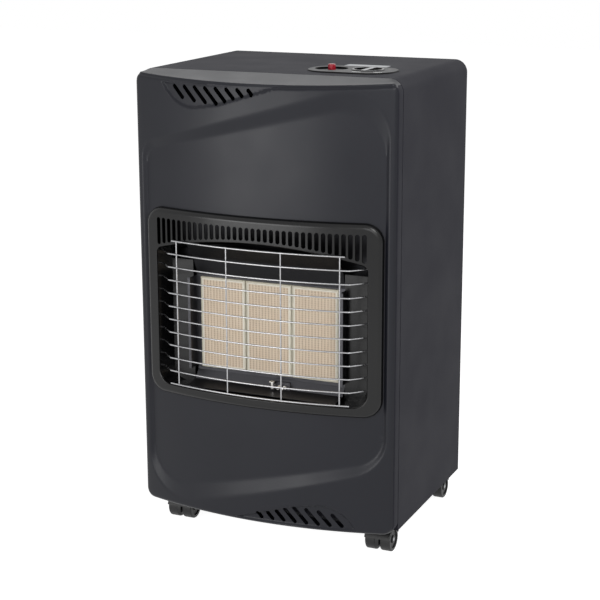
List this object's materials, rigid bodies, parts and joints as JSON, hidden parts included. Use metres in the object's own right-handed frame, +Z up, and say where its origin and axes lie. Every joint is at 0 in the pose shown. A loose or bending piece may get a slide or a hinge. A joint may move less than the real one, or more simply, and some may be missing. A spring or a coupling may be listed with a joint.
{
  "type": "portable gas cabinet heater",
  "caption": "Upright gas heater cabinet on castors with a bowed front, radiant ceramic burner behind a wire guard, vents, top controls and a lift-off rear cover over the bottle bay.",
  "frame": {"origin": "on the floor under the middle of the overall box", "axes": "+Z up, the front with the burner faces -Y, +X to the right seen from the front"},
  "size_m": [0.42, 0.3636, 0.7385],
  "materials": {
    "cabinet_paint": "satin charcoal powder coat with a very fine texture",
    "surround_enamel": "semi-gloss black heat-proof enamel",
    "guard_chrome": "bright plated steel wire",
    "bright_steel": "plain aluminised or galvanised sheet and tube",
    "ceramic": "pale porous ceramic, finely perforated",
    "gasket_fibre": "off-white ceramic fibre",
    "brass": "machined brass",
    "copper_tube": "drawn copper tube",
    "black_plastic": "fine-textured black plastic",
    "knob_plastic": "black plastic with a soft shine",
    "silver_print": "satin silver foil",
    "white_print": "white print",
    "red_plastic": "red plastic with a soft shine",
    "lead_sleeve": "pale heat-proof sleeve",
    "screw_zinc": "zinc-plated steel",
    "castor_plastic": "black moulded nylon",
    "porcelain": "glazed white porcelain"
  },
  "bodies": {
    "cabinet": {"cabinet_wrap": "cabinet_paint", "front_panel": "cabinet_paint", "base_pan": "cabinet_paint", "rear_cross_rail": "cabinet_paint", "casing_screws": "screw_zinc", "burner_surround": "surround_enamel", "wire_guard": "guard_chrome", "heat_shield": "bright_steel", "reflector_hood": "bright_steel", "reflector_tray": "bright_steel", "reflector_left": "bright_steel", "reflector_right": "bright_steel", "burner_body": "bright_steel", "plaque_frame": "bright_steel", "plaque_gaskets": "gasket_fibre", "ceramic_plaque_left": "ceramic", "ceramic_plaque_centre": "ceramic", "ceramic_plaque_right": "ceramic", "venturi_tube": "bright_steel", "injector": "brass", "pilot_burner": "brass", "pilot_bracket": "bright_steel", "spark_electrode": "porcelain", "spark_wire": "bright_steel", "thermocouple": "copper_tube", "burner_pipe": "bright_steel", "pilot_pipe": "bright_steel", "ignition_lead": "lead_sleeve", "thermocouple_lead": "copper_tube", "gas_valve": "brass", "hose_tail": "brass", "control_bezel": "black_plastic", "bezel_screw": "knob_plastic", "bezel_marks": "white_print", "label_plate": "silver_print", "piezo_igniter": "black_plastic", "igniter_nut": "black_plastic", "castor_sockets": "screw_zinc"},
    "igniter_button": {"igniter_button": "red_plastic"},
    "knob_push": {"valve_spindle": "brass"},
    "knob_turn": {"control_knob": "knob_plastic", "knob_pointer": "silver_print"},
    "rear_cover": {"rear_cover": "cabinet_paint", "cover_screws": "knob_plastic"},
    "castor_front_left_swivel": {"castor_front_left_hood": "castor_plastic", "castor_front_left_stem": "screw_zinc"},
    "castor_front_left_wheels": {"castor_front_left_wheels": "castor_plastic", "castor_front_left_axle": "screw_zinc"},
    "castor_front_right_swivel": {"castor_front_right_hood": "castor_plastic", "castor_front_right_stem": "screw_zinc"},
    "castor_front_right_wheels": {"castor_front_right_wheels": "castor_plastic", "castor_front_right_axle": "screw_zinc"},
    "castor_rear_left_swivel": {"castor_rear_left_hood": "castor_plastic", "castor_rear_left_stem": "screw_zinc"},
    "castor_rear_left_wheels": {"castor_rear_left_wheels": "castor_plastic", "castor_rear_left_axle": "screw_zinc"},
    "castor_rear_right_swivel": {"castor_rear_right_hood": "castor_plastic", "castor_rear_right_stem": "screw_zinc"},
    "castor_rear_right_wheels": {"castor_rear_right_wheels": "castor_plastic", "castor_rear_right_axle": "screw_zinc"}
  },
  "joints": [
    {"name": "igniter_press", "type": "slide", "parent": "cabinet", "child": "igniter_button", "axis": [0, 0, -1], "range_m": [0, 0.006], "stiffness_N_per_m": 500, "springref_m": -0.001},
    {"name": "knob_press", "type": "slide", "parent": "cabinet", "child": "knob_push", "axis": [0, 0, -1], "range_m": [0, 0.004], "stiffness_N_per_m": 800, "springref_m": -0.001},
    {"name": "knob_turn", "type": "hinge", "parent": "knob_push", "child": "knob_turn", "pos_m": [0.1265, -0.04217, 0.732], "axis": [0, 0, 1], "range_deg": [0, 240]},
    {"name": "cover_lift_off", "type": "slide", "parent": "cabinet", "child": "rear_cover", "axis": [0, 1, 0], "range_m": [0, 0.12]},
    {"name": "castor_front_left_swivel", "type": "hinge", "parent": "cabinet", "child": "castor_front_left_swivel", "pos_m": [-0.171, -0.07067, 0.046], "axis": [0, 0, 1], "continuous": true},
    {"name": "castor_front_left_roll", "type": "hinge", "parent": "castor_front_left_swivel", "child": "castor_front_left_wheels", "pos_m": [-0.171, -0.08467, 0.019], "axis": [1, 0, 0], "continuous": true},
    {"name": "castor_front_right_swivel", "type": "hinge", "parent": "cabinet", "child": "castor_front_right_swivel", "pos_m": [0.171, -0.07067, 0.046], "axis": [0, 0, 1], "continuous": true},
    {"name": "castor_front_right_roll", "type": "hinge", "parent": "castor_front_right_swivel", "child": "castor_front_right_wheels", "pos_m": [0.171, -0.08467, 0.019], "axis": [1, 0, 0], "continuous": true},
    {"name": "castor_rear_left_swivel", "type": "hinge", "parent": "cabinet", "child": "castor_rear_left_swivel", "pos_m": [-0.171, 0.14583, 0.046], "axis": [0, 0, 1], "continuous": true},
    {"name": "castor_rear_left_roll", "type": "hinge", "parent": "castor_rear_left_swivel", "child": "castor_rear_left_wheels", "pos_m": [-0.171, 0.15983, 0.019], "axis": [1, 0, 0], "continuous": true},
    {"name": "castor_rear_right_swivel", "type": "hinge", "parent": "cabinet", "child": "castor_rear_right_swivel", "pos_m": [0.171, 0.14583, 0.046], "axis": [0, 0, 1], "continuous": true},
    {"name": "castor_rear_right_roll", "type": "hinge", "parent": "castor_rear_right_swivel", "child": "castor_rear_right_wheels", "pos_m": [0.171, 0.15983, 0.019], "axis": [1, 0, 0], "continuous": true}
  ]
}
